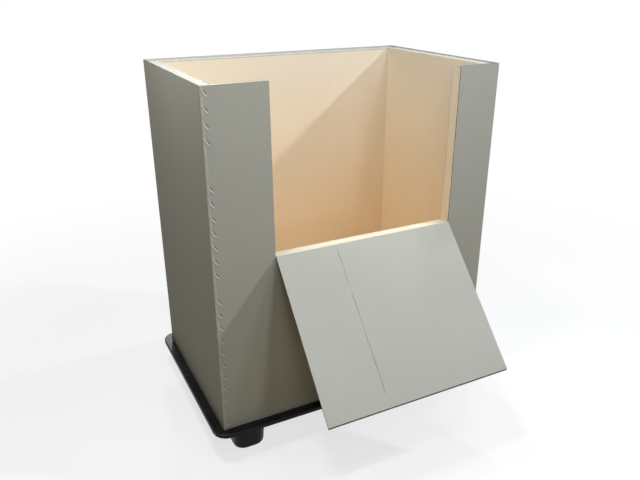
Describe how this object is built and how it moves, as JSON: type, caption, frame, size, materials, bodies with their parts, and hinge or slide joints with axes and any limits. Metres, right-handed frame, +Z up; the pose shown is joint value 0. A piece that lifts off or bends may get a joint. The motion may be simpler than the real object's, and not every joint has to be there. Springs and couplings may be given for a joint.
{
  "type": "insulated pallet box",
  "caption": "Tall foam-insulated box sleeve with a drop-down board flap in its front wall, standing in a black twin-sheet plastic pallet on block feet.",
  "frame": {"origin": "centre of the middle foot's sole, which is the centre of the pallet on the floor", "axes": "+Z up; -Y towards the wall with the drop door; +X to the right as seen from the door"},
  "size_m": [1.2, 1.1584, 1.357],
  "materials": {
    "black_plastic": "satin",
    "grey_board": "matte",
    "cream_foam": "matte",
    "tan_liner": "matte"
  },
  "bodies": {
    "pallet": {"pallet_bottom_sheet": "black_plastic", "pallet_top_sheet": "black_plastic"},
    "floor_panel": {"floor_lower_board": "grey_board", "floor_foam": "cream_foam", "floor_upper_board": "tan_liner"},
    "sleeve": {"outer_board": "grey_board", "back_foam": "cream_foam", "left_foam": "cream_foam", "right_foam": "cream_foam", "front_left_foam": "cream_foam", "front_right_foam": "cream_foam", "front_lower_foam": "cream_foam", "back_liner": "tan_liner", "left_liner": "tan_liner", "right_liner": "tan_liner", "front_left_liner": "tan_liner", "front_right_liner": "tan_liner", "front_lower_liner": "tan_liner", "hinge_crease": "grey_board"},
    "door": {"door_board": "grey_board"}
  },
  "joints": [
    {"name": "sleeve_lift", "type": "slide", "parent": "pallet", "child": "sleeve", "axis": [0, 0, 1], "range_m": [0, 0.25]},
    {"name": "floor_lift", "type": "slide", "parent": "pallet", "child": "floor_panel", "axis": [0, 0, 1], "range_m": [0, 1.3]},
    {"name": "door_hinge", "type": "hinge", "parent": "sleeve", "child": "door", "pos_m": [0.02275, -0.362, 0.769], "axis": [1, 0, 0], "range_deg": [-138, 37]}
  ]
}
